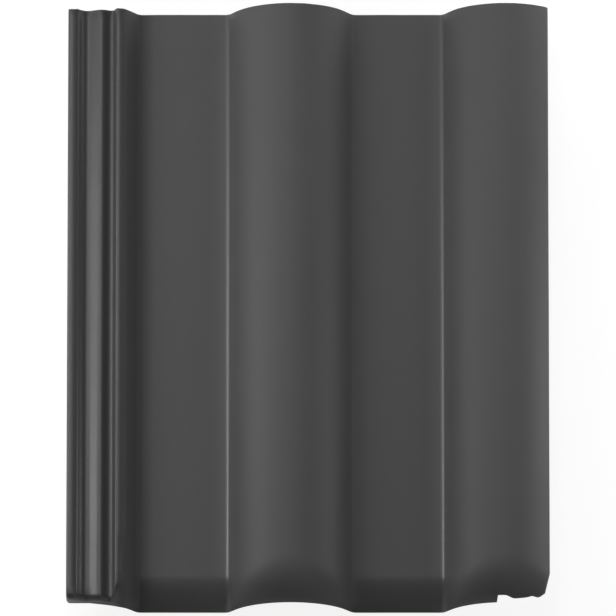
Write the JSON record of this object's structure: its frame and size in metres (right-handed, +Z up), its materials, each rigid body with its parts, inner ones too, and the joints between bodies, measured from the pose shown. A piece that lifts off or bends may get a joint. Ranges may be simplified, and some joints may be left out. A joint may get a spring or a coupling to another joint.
{
  "type": "interlocking concrete roof tile",
  "caption": "Interlocking roof tile with broad rolls and flat pans, a water channel on one side, a cover flap on the other, a rounded nose and hanging nibs.",
  "frame": {"origin": "centre of the bounding box in plan, at the floor that the lip and the nibs rest on", "axes": "+X across the tile from the water channel to the cover flap, +Y up the slope from the nose to the head, +Z up; the tile lies as it rests, with the head raised by 1.43 degrees"},
  "size_m": [0.33, 0.4205, 0.0593],
  "materials": {
    "concrete": "smooth satin anthracite coating on top, raw cast concrete underneath"
  },
  "bodies": {
    "root": {"roof_tile": "concrete"}
  },
  "joints": []
}
